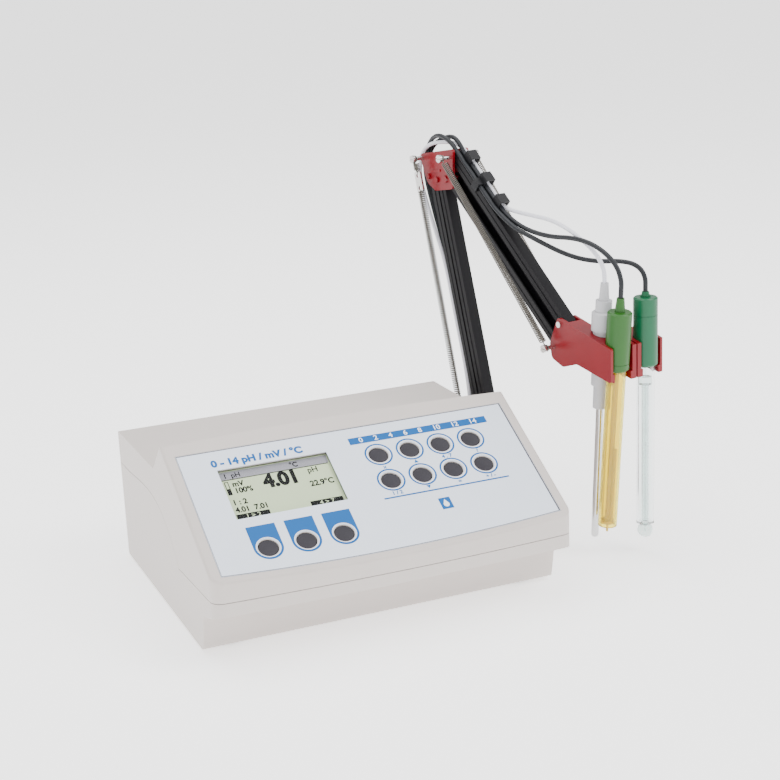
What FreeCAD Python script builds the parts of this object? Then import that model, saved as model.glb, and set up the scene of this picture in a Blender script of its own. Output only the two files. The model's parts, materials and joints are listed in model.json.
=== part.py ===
import FreeCAD, Part
import math
import os

# Bench pH meter with an electrode arm and three probes, in millimetres.
# +Z up, +X to the user's right, -Y towards the user, origin on the bench under the middle of the object.
# The model is drawn in the case's frame, whose origin is on the bench under the middle of the case.

V = FreeCAD.Vector
os.makedirs("parts", exist_ok=True)

# ---------------------------------------------------------------- driving dimensions
MIDDLE = (45.47, 9.24)      # x and y of the whole object's middle, its cords left out
CASE_HALF_WIDTH = 117.5
CASE_REAR = 106.0          # y of the rear wall
FRONT_CORNER = -107.0      # y of the front edge of the control panel at its corners
FRONT_ARCH = 4.5           # how far the front edge bows out in the middle
CASE_FLOOR = 2.5           # z of the underside, the height of the rubber feet
DECK = 91.5                # z of the flat deck behind the panel
WALL = 2.6
EDGE_RADIUS = 2.2          # of the panel's and the ridge's outer edges
PANEL_TILT = 30.3          # degrees above the bench
PANEL_Y = -107.0           # a point on the panel's surface, at its front corners
PANEL_Z = 56.4
PANEL_LENGTH = 110.5       # front edge to the tips of the rear corners
SEAM = 0.2                 # half of the gap between the two shells

OVERLAY_HALF_WIDTH = 110.6
OVERLAY_FROM = 4.0
OVERLAY_TO = 100.0
OVERLAY_DEPTH = 0.6
KEY_RADIUS = 5.9
KEY_HOLE_RADIUS = 6.4
KEY_PITCH = 21.4
KEY_FIRST_X = 14.5
KEY_ROWS = (52.4, 74.3)
SOFT_KEY_X = -77.0
SOFT_KEY_PITCH = 24.0
SOFT_KEY_ROW = 19.0
SWITCH_TILT = 7.0          # degrees the rocker leans either way
LCD_X = (-88.8, -17.5)
LCD_S = (43.4, 83.9)

SWIVEL = V(144.5, 64.0, -2.5)  # the arm's vertical axis; its frame starts a little under the bench
ARM_HEADING = -79.0            # degrees from +X, the way the arm points
BAR_WIDTH = 8.4
BAR_DEPTH = 7.5
BAR_WALL = 1.1
PLATE_IN = 4.9                 # inner and outer faces of every clevis plate, from the arm's middle
PLATE_OUT = 7.0
PIN_RADIUS = 1.5
PIN_HOLE = 1.55
SPRING_OFFSET = 13.75          # spring centre line from the arm's middle
SPRING_RADIUS = 2.2
LOWER_LENGTH = 184.0
LOWER_LEAN = 15.7              # degrees back from vertical
UPPER_LENGTH = 153.9
UPPER_DROP = 40.2              # degrees below horizontal

# Pivot points in the arm's own plane: u forward from the swivel axis, z up.
ELBOW_REAR = (-54.4, 241.0)
ELBOW_FRONT = (-44.56, 239.6)
ELBOW_LOW = (-34.2, 241.0)
ELBOW_TOP = (-28.5, 257.0)
ELBOW_ANCHOR = (-61.2, 253.6)
FOOT_ANCHOR = (-12.6, 64.0)

BLACK_CABLE = 3.2
WHITE_CABLE = 2.8


# ---------------------------------------------------------------- helpers
def box(x0, x1, y0, y1, z0, z1):
    return Part.makeBox(x1 - x0, y1 - y0, z1 - z0, V(x0, y0, z0))


def cyl(radius, start, end):
    start, end = V(*start), V(*end)
    return Part.makeCylinder(radius, (end - start).Length, start, end - start)


def cone(r0, r1, start, end):
    start, end = V(*start), V(*end)
    return Part.makeCone(r0, r1, (end - start).Length, start, end - start)


def corner_edges(points, radii, closed):
    """Straight runs joined by tangent arcs; one radius per inner corner."""
    points = [V(*p) for p in points]
    count = len(points)
    corners = range(count) if closed else range(1, count - 1)
    cut = {}
    for i in corners:
        here, before, after = points[i], points[i - 1], points[(i + 1) % count]
        into, away = (here - before).normalize(), (after - here).normalize()
        turn = into.getAngle(away)
        radius = radii[i] if isinstance(radii, (list, tuple)) else radii
        back = radius * math.tan(turn / 2)
        if back < 1e-6:
            cut[i] = (here, here, None)
            continue
        first, last = here - into * back, here + away * back
        inward = (away - into).normalize()
        middle = here + inward * (radius / math.cos(turn / 2) - radius)
        cut[i] = (first, last, middle)
    edges = []
    at = cut[0][1] if closed else points[0]
    order = list(range(1, count)) + [0] if closed else list(range(1, count - 1))
    for i in order:
        first, last, middle = cut[i]
        if (first - at).Length > 1e-6:
            edges.append(Part.LineSegment(at, first).toShape())
        if middle is not None:
            edges.append(Part.Arc(first, middle, last).toShape())
        at = last
    if not closed and (points[-1] - at).Length > 1e-6:
        edges.append(Part.LineSegment(at, points[-1]).toShape())
    return edges


def outline(points, radii=0.0):
    return Part.Face(Part.Wire(corner_edges(points, radii, True)))


def slab_uz(points, v0, v1, radii=0.0):
    """An outline in the u-z plane given thickness from v0 to v1."""
    face = outline([(u, v0, z) for u, z in points], radii)
    return face.extrude(V(0, v1 - v0, 0))


def fuse(shapes):
    whole = shapes[0]
    for shape in shapes[1:]:
        whole = whole.fuse(shape)
    return whole.removeSplitter()


def save(name, shape, place=None):
    """Writes one node, moved from the case's own frame to the object's."""
    shape = shape.copy()
    if place is not None:
        shape.Placement = place.multiply(shape.Placement)
    shape.translate(V(-MIDDLE[0], -MIDDLE[1], 0))
    if not shape.isValid():
        print("WARNING", name, "is not valid")
    shape.exportStep(f"parts/{name}.step")


PANEL = FreeCAD.Placement(V(0, PANEL_Y, PANEL_Z), FreeCAD.Rotation(V(1, 0, 0), PANEL_TILT))
ARM = FreeCAD.Placement(SWIVEL, FreeCAD.Rotation(V(0, 0, 1), ARM_HEADING))


def along(angle):
    """Unit direction in the u-z plane, degrees above forward."""
    return math.cos(math.radians(angle)), math.sin(math.radians(angle))


def step(point, angle, length):
    direction = along(angle)
    return point[0] + direction[0] * length, point[1] + direction[1] * length


LOWER_ANGLE = 90.0 + LOWER_LEAN
UPPER_ANGLE = -UPPER_DROP
FOOT_REAR = step(ELBOW_REAR, LOWER_ANGLE, -LOWER_LENGTH)
FOOT_FRONT = step(ELBOW_FRONT, LOWER_ANGLE, -LOWER_LENGTH)
HEAD_TOP = step(ELBOW_TOP, UPPER_ANGLE, UPPER_LENGTH)
HEAD_LOW = step(ELBOW_LOW, UPPER_ANGLE, UPPER_LENGTH)


# ---------------------------------------------------------------- case
def panel_point(s, n=0.0):
    c, q = math.cos(math.radians(PANEL_TILT)), math.sin(math.radians(PANEL_TILT))
    return PANEL_Y + s * c - n * q, PANEL_Z + s * q + n * c


def plan_outline(inset, z):
    """The case from above: square rear corners, a bowed front edge."""
    w, rear = CASE_HALF_WIDTH - inset, CASE_REAR - inset
    front, bow = FRONT_CORNER + inset, FRONT_ARCH
    corner = 7.0 - inset
    middle = V(0, front - bow, z)
    left, right = V(-w + corner, front - 0.4, z), V(w - corner, front - 0.4, z)
    arch = Part.Arc(left, middle, right).toShape()
    lean = 0.7071 * corner
    left_round = Part.Arc(left, V(-w + corner - lean, front + corner - lean, z), V(-w, front + corner, z))
    right_round = Part.Arc(right, V(w - corner + lean, front + corner - lean, z), V(w, front + corner, z))
    rear_points = [(-w, front + corner, z), (-w, rear, z), (w, rear, z), (w, front + corner, z)]
    sides = corner_edges(rear_points, [0, 6.0 - inset, 6.0 - inset, 0], False)
    edges = [arch, left_round.toShape(), right_round.toShape()] + sides
    return Part.Face(Part.Wire(Part.__sortEdges__(edges)))


def case_block(inset):
    """Everything inside the case's outer skin, moved in by inset."""
    rear = CASE_REAR - inset
    floor_z, deck = CASE_FLOOR + inset, DECK - inset
    slope = math.tan(math.radians(PANEL_TILT))
    front_y = FRONT_CORNER - FRONT_ARCH - 3.0 + inset
    drop = inset / math.cos(math.radians(PANEL_TILT))
    front_z = PANEL_Z + (front_y - PANEL_Y) * slope - drop
    deck_y = PANEL_Y + (deck - PANEL_Z + drop) / slope
    profile = [(front_y, front_z), (deck_y, deck), (rear, deck), (rear, floor_z), (-77.0 + inset, floor_z),
               (-82.0 + inset, 27.0 + inset * 0.5), (front_y, 36.5 + inset)]
    radii = [0, 0, 8.0 - inset, 2.0, 4.0, 6.0, 0]
    w = CASE_HALF_WIDTH + 1
    side = outline([(-w, y, z) for y, z in profile], radii)
    body = side.extrude(V(2 * w, 0, 0))
    return body.fuse(hump(inset)).common(plan_outline(inset, 0).extrude(V(0, 0, 130)))


def hump(inset):
    """The ridge behind the panel, which ends in a pointed corner at each side."""
    w = CASE_HALF_WIDTH - inset
    ridge_s, crown = PANEL_LENGTH - 1.6 * inset, 3.0
    y0, z0 = panel_point(60.0, -inset)
    y1, z1 = panel_point(ridge_s, -inset)
    ym, zm = panel_point(ridge_s + crown, -inset)
    corners = [V(-w, y1, z1), V(w, y1, z1)]
    arc = Part.Arc(corners[0], V(0, ym, zm), corners[1]).toShape()
    front = [Part.LineSegment(corners[1], V(w, y0, z0)).toShape(),
             Part.LineSegment(V(w, y0, z0), V(-w, y0, z0)).toShape(),
             Part.LineSegment(V(-w, y0, z0), corners[0]).toShape()]
    face = Part.Face(Part.Wire(Part.__sortEdges__([arc] + front)))
    return face.extrude(V(0, 26.0, -25.0))


def seam_block(offset):
    """All that lies above the seam between the shells."""
    points = [(-34.0, 39.7), (-22.5, 52.7), (0.5, 67.0), (49.0, 71.6), (91.5, 69.4)]
    curve = Part.BSplineCurve()
    curve.interpolate([V(-150, y, z + offset) for y, z in points])
    start, end = points[0], points[-1]
    low = V(-150, -140, 44.8 + offset)
    edges = [Part.LineSegment(low, V(-150, start[0], start[1] + offset)).toShape(), curve.toShape(),
             Part.LineSegment(V(-150, end[0], end[1] + offset), V(-150, 140, 67.0 + offset)).toShape(),
             Part.LineSegment(V(-150, 140, 67.0 + offset), V(-150, 140, 160)).toShape(),
             Part.LineSegment(V(-150, 140, 160), V(-150, -140, 160)).toShape(),
             Part.LineSegment(V(-150, -140, 160), low).toShape()]
    return Part.Face(Part.Wire(Part.__sortEdges__(edges))).extrude(V(300, 0, 0))


def overlay_outline(grow, n, crown):
    """Panel-frame outline of the overlay, with its bowed front edge."""
    w = OVERLAY_HALF_WIDTH + grow
    s0, s1 = OVERLAY_FROM - grow, OVERLAY_TO + grow
    points = [V(-w, s0, n), V(-w, s1, n), V(w, s1, n), V(w, s0, n)]
    edges = [Part.LineSegment(points[i], points[i + 1]).toShape() for i in range(3)]
    edges.append(Part.Arc(points[3], V(0, s0 - crown, n), points[0]).toShape())
    return Part.Face(Part.Wire(edges))


def key_places():
    """Name, x and distance up the panel for every key."""
    places = []
    for i, name in enumerate(("left", "middle", "right")):
        places.append((f"key_soft_{name}", SOFT_KEY_X + i * SOFT_KEY_PITCH, SOFT_KEY_ROW))
    rows = (("channel", "down", "menu", "range"), ("escape", "up", "calibrate", "help"))
    for names, s in zip(rows, KEY_ROWS):
        for i, name in enumerate(names):
            places.append((f"key_{name}", KEY_FIRST_X + i * KEY_PITCH, s))
    return places


REAR_OPENING = (-104.0, 104.0, 14.0, 60.0)      # x and z of the opening for the connector plate
BOSSES = [(-104, -60), (104, -60), (-104, 84), (104, 84)]
SOCKETS_Z = 36.0
BNC_X = (88.0, 36.0)
PHONO_X = (-16.0, -31.0)
REFERENCE_X = (67.0, 15.0)
INLET_X = -71.5
SOCKET_OF = {"gel": BNC_X[0], "glass": BNC_X[1], "temperature": PHONO_X[0]}


def boss_top(y):
    return 81.2 if y < 0 else 90.0


def shells():
    outer = soften(case_block(0).removeSplitter())
    inner = case_block(WALL)
    shell = outer.cut(inner)
    above = seam_block(SEAM)
    top = shell.common(above)
    bottom = shell.cut(seam_block(-SEAM))
    pocket = overlay_outline(0.25, -OVERLAY_DEPTH, FRONT_ARCH).extrude(V(0, 0, 10))
    window = box(LCD_X[0] - 1, LCD_X[1] + 1, LCD_S[0] - 1, LCD_S[1] + 1, -10, 10)
    cuts = [pocket, window]
    for _, x, s in key_places():
        cuts.append(cyl(KEY_HOLE_RADIUS, (x, s, -12), (x, s, 12)))
    tools = fuse(cuts)
    tools.Placement = PANEL
    top = top.cut(tools)
    posts_top, posts_low = [], []
    for x, y in BOSSES:
        seat = 34.0 if y < 0 else 60.0
        low_post = cyl(4.0, (x, y, CASE_FLOOR + 1), (x, y, seat))
        posts_low.append(low_post.cut(cyl(1.7, (x, y, 0), (x, y, seat + 1))))
        post = cyl(3.6, (x, y, seat), (x, y, boss_top(y))).cut(cyl(1.3, (x, y, seat - 1), (x, y, seat + 14)))
        posts_top.append(post)
    x0, x1, z0, z1 = REAR_OPENING
    opening = box(x0, x1, CASE_REAR - 12, CASE_REAR + 5, z0, z1)
    heads = [cyl(3.4, (x, y, 0), (x, y, 22)) for x, y in BOSSES]
    screw_ways = fuse(heads + [cyl(1.7, (x, y, 0), (x, y, 40)) for x, y in BOSSES])
    bottom = fuse([bottom] + posts_low).cut(opening).cut(screw_ways)
    vents = [box(-60 + 8 * i, -57 + 8 * i, -40, -5, 0, 10) for i in range(6)]
    bottom = bottom.cut(fuse(vents))
    top = fuse([top] + posts_top)
    return top, bottom


def soften(block):
    """Rounds the outer edges of the panel and its ridge in one run of fillets."""
    def panel_edge(edge):
        box = edge.BoundBox
        wide = box.XLength > 150
        ridge = wide and box.ZMin > 111
        front = wide and box.ZMax < 58 and box.ZMin > 50
        side = box.ZMax > 111 and box.YMin < -90
        return ridge or front or side

    return block.makeFillet(EDGE_RADIUS, [edge for edge in block.Edges if panel_edge(edge)])


def make_case():
    top, bottom = shells()
    save("top_cover", top)
    save("bottom_case", bottom)
    x0, x1, z0, z1 = REAR_OPENING
    plate = box(x0 + 0.3, x1 - 0.3, CASE_REAR - 4.4, CASE_REAR - 2.4, z0 + 0.3, z1 - 0.3)
    rim = box(x0 - 3, x1 + 3, CASE_REAR - 4.4, CASE_REAR - WALL - 0.2, z0 - 3, z1 + 3)
    plate = plate.fuse(rim)
    holes = [cyl(5.0, (x, 95, SOCKETS_Z), (x, 112, SOCKETS_Z)) for x in BNC_X]
    holes += [cyl(4.3, (x, 95, SOCKETS_Z), (x, 112, SOCKETS_Z)) for x in PHONO_X + REFERENCE_X]
    holes.append(box(-61, -39, 95, 112, 30, 42))
    holes.append(cyl(5.6, (-71.5, 95, SOCKETS_Z), (-71.5, 112, SOCKETS_Z)))
    holes.append(box(-96.2, -81.8, 95, 112, 25.8, 46.2))
    save("rear_panel", plate.cut(fuse(holes)))


def make_panel_parts():
    overlay = overlay_outline(0, -OVERLAY_DEPTH + 0.05, FRONT_ARCH).extrude(V(0, 0, OVERLAY_DEPTH - 0.1))
    cuts = [box(LCD_X[0], LCD_X[1], LCD_S[0], LCD_S[1], -5, 5)]
    for _, x, s in key_places():
        cuts.append(cone(KEY_HOLE_RADIUS + 0.2, KEY_HOLE_RADIUS + 1.0, (x, s, -OVERLAY_DEPTH), (x, s, 0.2)))
    save("panel_overlay", overlay.cut(fuse(cuts)), PANEL)
    window = box(LCD_X[0] + 0.1, LCD_X[1] - 0.1, LCD_S[0] + 0.1, LCD_S[1] - 0.1, -OVERLAY_DEPTH - 0.6, -0.25)
    save("display_window", window, PANEL)
    frame = box(LCD_X[0] - 6, LCD_X[1] + 6, LCD_S[0] - 7, LCD_S[1] + 7, -13, -5.0)
    glass = box(LCD_X[0] - 0.5, LCD_X[1] + 0.5, LCD_S[0] - 0.5, LCD_S[1] + 0.5, -5.0, -2.9)
    pegs = [cyl(1.5, (x, s, -5.0), (x, s, -WALL)) for x in (LCD_X[0] - 4, LCD_X[1] + 4)
            for s in (LCD_S[0] - 4, LCD_S[1] + 4)]
    save("lcd_module", fuse([frame, glass] + pegs), PANEL)
    board = box(-6, 96, 6, 92, -15.0, -13.4)
    soft = box(-96, -6.0, 6, 32, -15.0, -13.4)
    dome = [cyl(3.0, (x, s, -13.4), (x, s, -11.6)) for _, x, s in key_places()]
    stand = [cyl(2.2, (x, s, -15.0), (x, s, -WALL)) for x in (-3, 93) for s in (9, 89)]
    save("key_board", fuse([board, soft] + dome + stand), PANEL)
    for name, x, s in key_places():
        cap = cyl(KEY_RADIUS, (x, s, -6.0), (x, s, -1.0))
        flange = cyl(KEY_RADIUS + 1.3, (x, s, -6.0), (x, s, -4.6))
        stem = cyl(2.6, (x, s, -10.7), (x, s, -6.0))
        dish = Part.makeSphere(22.0, V(x, s, 20.3))
        save(name, fuse([cap, flange, stem]).cut(dish), PANEL)


def ring(r0, r1, start, end):
    return cyl(r1, start, end).cut(cyl(r0, start, end))


def make_connectors():
    y_face = CASE_REAR - 2.4
    bnc = []
    for x in BNC_X:
        shell = ring(4.0, 4.8, (x, y_face - 8, SOCKETS_Z), (x, y_face + 10, SOCKETS_Z))
        nut = ring(4.8, 7.6, (x, y_face, SOCKETS_Z), (x, y_face + 1.8, SOCKETS_Z))
        core = cyl(4.0, (x, y_face - 8, SOCKETS_Z), (x, y_face + 2, SOCKETS_Z))
        pin = cyl(0.7, (x, y_face + 2, SOCKETS_Z), (x, y_face + 8, SOCKETS_Z))
        lug = cyl(1.0, (x, y_face + 7, SOCKETS_Z - 5.9), (x, y_face + 7, SOCKETS_Z - 4.5))
        lug2 = cyl(1.0, (x, y_face + 7, SOCKETS_Z + 4.5), (x, y_face + 7, SOCKETS_Z + 5.9))
        bnc.append(fuse([shell, nut, core, pin, lug, lug2]))
    save("bnc_sockets", Part.makeCompound(bnc))
    phono = []
    for x in PHONO_X + REFERENCE_X:
        body = ring(1.7, 4.1, (x, y_face - 7, SOCKETS_Z), (x, y_face + 7, SOCKETS_Z))
        nut = ring(4.1, 5.6, (x, y_face, SOCKETS_Z), (x, y_face + 1.5, SOCKETS_Z))
        back = cyl(4.1, (x, y_face - 9, SOCKETS_Z), (x, y_face - 7, SOCKETS_Z))
        phono.append(fuse([body, nut, back]))
    save("phono_sockets", Part.makeCompound(phono))
    barrel = ring(3.0, 5.4, (INLET_X, y_face - 10, SOCKETS_Z), (INLET_X, y_face + 0.8, SOCKETS_Z))
    flange = ring(5.4, 7.0, (INLET_X, y_face, SOCKETS_Z), (INLET_X, y_face + 0.8, SOCKETS_Z))
    jack_back = cyl(5.4, (INLET_X, y_face - 12, SOCKETS_Z), (INLET_X, y_face - 10, SOCKETS_Z))
    jack_pin = cyl(1.0, (INLET_X, y_face - 10, SOCKETS_Z), (INLET_X, y_face - 1.5, SOCKETS_Z))
    save("power_inlet", fuse([barrel, flange, jack_back, jack_pin]))
    port = box(-60.7, -39.3, y_face - 8, y_face + 1.5, 30.3, 41.7)
    hollow = box(-59.2, -40.8, y_face - 5, y_face + 3, 31.8, 40.2)
    tongue = box(-56.5, -43.5, y_face - 6, y_face + 0.5, 34.6, 36.6)
    save("data_port", port.cut(hollow).fuse(tongue))
    bezel = box(-98, -80, y_face, y_face + 1.2, 24, 48).fuse(box(-96, -82, y_face - 9, y_face, 26, 46))
    bezel = bezel.cut(box(-94.6, -83.4, y_face - 7, y_face + 2, 27.4, 44.6))
    axle = cyl(1.0, (-94.6, y_face - 1.5, 36), (-83.4, y_face - 1.5, 36))
    save("switch_frame", fuse([bezel, axle]))
    side = [(y_face - 5.6, 28.6), (y_face + 0.6, 28.6), (y_face + 2.9, 29.4), (y_face + 0.7, 36),
            (y_face + 2.9, 42.6), (y_face + 0.6, 43.4), (y_face - 5.6, 43.4)]
    rocker = outline([(-94.1, y, z) for y, z in side], 0).extrude(V(10.2, 0, 0))
    rocker = rocker.cut(cyl(1.05, (-100, y_face - 1.5, 36), (-70, y_face - 1.5, 36)))
    rocker.rotate(V(0, y_face - 1.5, 36), V(1, 0, 0), -SWITCH_TILT)
    save("power_switch", rocker)


def make_inside():
    main = box(-92, 92, 0, 88, 20.0, 21.6)
    chips = [box(-30, 10, 30, 55, 21.6, 24.4), box(30, 50, 20, 40, 21.6, 23.8)]
    chips.append(box(-75, -55, 55, 80, 21.6, 33.6))
    legs = [ring(1.4, 3.0, (x, y, CASE_FLOOR + WALL), (x, y, 20.0)) for x in (-88, 88) for y in (4, 78)]
    caps = [cyl(4.0, (x, 70, 21.6), (x, 70, 31)) for x in (-40, -28)]
    save("main_board", fuse([main] + chips + caps + legs))
    screws = []
    for x, y in BOSSES:
        seat = 34.0 if y < 0 else 60.0
        head = cyl(2.9, (x, y, 22.0 - 2.2), (x, y, 22.0))
        shank = cyl(1.3, (x, y, 22.0), (x, y, seat + 12))
        screws.append(fuse([head, shank]))
    save("case_screws", Part.makeCompound(screws))
    under_case = ((-98, -62), (98, -62), (-98, 88), (44, 92))
    feet = [cone(7.0, 8.0, (x, y, 0), (x, y, CASE_FLOOR)) for x, y in under_case]
    pads = [cyl(5.0, (x, y, 0), (x, y, 0.5)) for x, y in ((144, 46), (144, 82), (68, 64))]
    save("rubber_feet", Part.makeCompound(feet + pads))


# ---------------------------------------------------------------- stand and arm
def channel(start, end, open_side):
    """A channel bar in the u-z plane; open_side is +1 or -1 across the bar."""
    length = math.dist(start, end)
    half = BAR_DEPTH / 2
    bar = box(0, length, -BAR_WIDTH / 2, BAR_WIDTH / 2, -half, half)
    bar = fuse([bar] + [cyl(half, (x, -BAR_WIDTH / 2, 0), (x, BAR_WIDTH / 2, 0)) for x in (0, length)])
    inner = BAR_WIDTH / 2 - BAR_WALL
    reach = half - BAR_WALL
    z0, z1 = (-reach, half + 1) if open_side > 0 else (-half - 1, reach)
    bar = bar.cut(box(-half - 1, length + half + 1, -inner, inner, z0, z1))
    for side in (-1, 1):
        y0, y1 = sorted((side * (BAR_WIDTH / 2 - 0.35), side * (BAR_WIDTH / 2 + 1)))
        bar = bar.cut(box(6, length - 6, y0, y1, -0.6, 0.6))
    for x in (0, length):
        bar = bar.cut(cyl(PIN_HOLE, (x, -10, 0), (x, 10, 0)))
    angle = math.degrees(math.atan2(end[1] - start[1], end[0] - start[0]))
    turn = FreeCAD.Rotation(V(0, 1, 0), -angle)
    bar.Placement = FreeCAD.Placement(V(start[0], 0, start[1]), turn)
    return bar


def pin(point, reach, head=2.6):
    u, z = point
    rod = cyl(PIN_RADIUS, (u, -reach, z), (u, reach, z))
    heads = [cyl(head, (u, s * reach, z), (u, s * (reach + 1.4), z)) for s in (-1, 1)]
    return fuse([rod] + heads)


def hole(point, radius=PIN_RADIUS):
    u, z = point
    return cyl(radius, (u, -30, z), (u, 30, z))


def make_stand():
    u, v = SWIVEL.x, SWIVEL.y
    plate = outline([(58, v - 26, 0.5), (58, v + 26, 0.5), (u + 14, v + 26, 0.5), (u + 14, v - 26, 0.5)], 8.0)
    plate = plate.extrude(V(0, 0, CASE_FLOOR - 0.5))
    post = cyl(5.0, (u, v, 2), (u, v, 44.4)).fuse(cone(8.0, 5.6, (u, v, 2.4), (u, v, 5.0)))
    for x, y in ((70, v - 16), (70, v + 16)):
        plate = plate.cut(cone(3.6, 1.8, (x, y, 0.4), (x, y, 2.6)))
    save("base_plate", fuse([plate, post]))
    way = cyl(5.06, (0, 0, 0), (0, 0, 47.1))
    tube = cyl(11.0, (0, 0, 7.9), (0, 0, 54.0)).cut(way)
    collar = cyl(12.5, (0, 0, 7.9), (0, 0, 13)).cut(way)
    cheek = [(-13, 50), (11, 50), (11.5, 62), (8, 68.5), (-13.5, 70), (-18, 62)]
    sides = []
    for side in (-1, 1):
        v0, v1 = sorted((side * PLATE_IN, side * PLATE_OUT))
        sides.append(slab_uz(cheek, v0, v1, [2, 0.5, 3, 5, 4, 5]))
    base = fuse([tube, collar] + sides)
    for point in (FOOT_REAR, FOOT_FRONT, FOOT_ANCHOR):
        base = base.cut(hole(point))
    save("swivel_base", base, ARM)
    pins = [pin(FOOT_REAR, PLATE_OUT), pin(FOOT_FRONT, PLATE_OUT)] + anchor(FOOT_ANCHOR)
    save("swivel_pins", Part.makeCompound(pins), ARM)


def anchor(point, inner=PLATE_IN):
    """Two screws that stand out from the clevis plates and hold the spring eyes."""
    screws = []
    for side in (-1, 1):
        y0, y1, y2 = side * inner, side * (SPRING_OFFSET + 1.5), side * (SPRING_OFFSET + 3.3)
        rod = cyl(PIN_RADIUS, (point[0], y0, point[1]), (point[0], y1, point[1]))
        head = cyl(2.7, (point[0], y1, point[1]), (point[0], y2, point[1]))
        y3, y4 = sorted((y2 - side * 0.7, y2 + side * 0.5))
        slot = box(point[0] - 3, point[0] + 3, y3, y4, point[1] - 0.4, point[1] + 0.4)
        screws.append(fuse([rod, head]).cut(slot))
    return screws


def make_elbow():
    cheek = [(-65.3, 256.1), (-24.8, 263.0), (-26.3, 234.7), (-47.0, 231.4), (-55.5, 235.6), (-59.0, 240.5)]
    sides = []
    for side in (-1, 1):
        v0, v1 = sorted((side * PLATE_IN, side * PLATE_OUT))
        sides.append(slab_uz(cheek, v0, v1, [3.0, 2.0, 2.5, 3.0, 3.5, 3.5]))
    top_web = [(-63.5, 256.0), (-40.0, 260.2), (-40.0, 258.0), (-61.0, 253.9), (-59.5, 250.0), (-61.3, 249.4)]
    web = slab_uz(top_web, -PLATE_IN, PLATE_IN, 0.2)
    raised = [(-50.5, 244.0), (-40.0, 245.6), (-40.3, 247.4), (-50.8, 245.8)]
    ribs = [slab_uz(raised, -7.6, -PLATE_OUT, 0.3), slab_uz(raised, PLATE_OUT, 7.6, 0.3)]
    bracket = fuse(sides + [web] + ribs)
    for point in (ELBOW_REAR, ELBOW_FRONT, ELBOW_LOW, ELBOW_TOP, ELBOW_ANCHOR):
        bracket = bracket.cut(hole(point))
    save("elbow_bracket", bracket, ARM)
    pins = [pin(ELBOW_REAR, PLATE_OUT, 2.1), pin(ELBOW_FRONT, PLATE_OUT, 2.1), pin(ELBOW_LOW, PLATE_OUT)]
    u, z = ELBOW_TOP
    pins.append(fuse([cyl(PIN_RADIUS, (u, -PLATE_IN, z), (u, PLATE_IN, z))] + anchor(ELBOW_TOP)))
    pins += anchor(ELBOW_ANCHOR)
    save("elbow_pins", Part.makeCompound(pins), ARM)


def make_bars():
    save("lower_rear_bar", channel(FOOT_REAR, ELBOW_REAR, -1), ARM)
    save("lower_front_bar", channel(FOOT_FRONT, ELBOW_FRONT, 1), ARM)
    save("upper_top_bar", channel(ELBOW_TOP, HEAD_TOP, -1), ARM)
    save("upper_bottom_bar", channel(ELBOW_LOW, HEAD_LOW, 1), ARM)


CLIP_AT = (10.4, 31.5, 52.1)       # along the upper bar from its elbow pin
CLIP_LENGTH = 8.0


def bar_placement():
    return FreeCAD.Placement(V(ELBOW_TOP[0], 0, ELBOW_TOP[1]), FreeCAD.Rotation(V(0, 1, 0), UPPER_DROP))


def make_clips():
    """Three cable clips on one strip, pressed over the top bar; the middle one also hoops the outer cable."""
    face = BAR_DEPTH / 2
    strip = box(CLIP_AT[0] - 4, CLIP_AT[2] + 4, -1.2, BAR_WIDTH / 2 + 0.1, face + 0.05, face + 0.75)
    pieces = [strip]
    for at in CLIP_AT:
        x0, x1 = at - CLIP_LENGTH / 2, at + CLIP_LENGTH / 2
        block = box(x0, x1, -1.5, 6.2, face + 0.05, face + 8.6)
        way = box(x0 - 1, x1 + 1, -0.85, 5.45, face + 0.75, face + 7.7)
        mouth = box(x0 - 1, x1 + 1, 5, 9, face + 4.0, face + 4.8)
        pieces.append(block.cut(way).cut(mouth))
    x0, x1 = CLIP_AT[1] - 3, CLIP_AT[1] + 3
    side = -BAR_WIDTH / 2 - 0.05
    leg = box(x0, x1, side - 1.7, -1.2, face + 3.6, face + 4.6)
    leg = leg.fuse(box(x0, x1, side - 1.7, side - 0.8, face - 2.6, face + 4.6))
    leg = leg.fuse(box(x0, x1, side - 1.7, side, face - 2.6, face - 1.6))
    clips = fuse(pieces + [leg])
    save("cable_clips", clips, ARM.multiply(bar_placement()))


def spring(start, end, side, gap=0.0):
    """One coil spring as a plain rod between two eyes, with a hook wire at each end."""
    y = side * SPRING_OFFSET
    a, b = V(start[0], y, start[1]), V(end[0], y, end[1])
    way = (b - a).normalize()
    hook = 5.0
    rod = cyl(SPRING_RADIUS, a + way * hook, b - way * hook)
    eye = way * (PIN_RADIUS + 0.1)
    wires = [cyl(0.6, a + eye, a + way * hook), cyl(0.6, b - way * hook, b - eye)]
    return fuse([rod] + wires)


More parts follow.
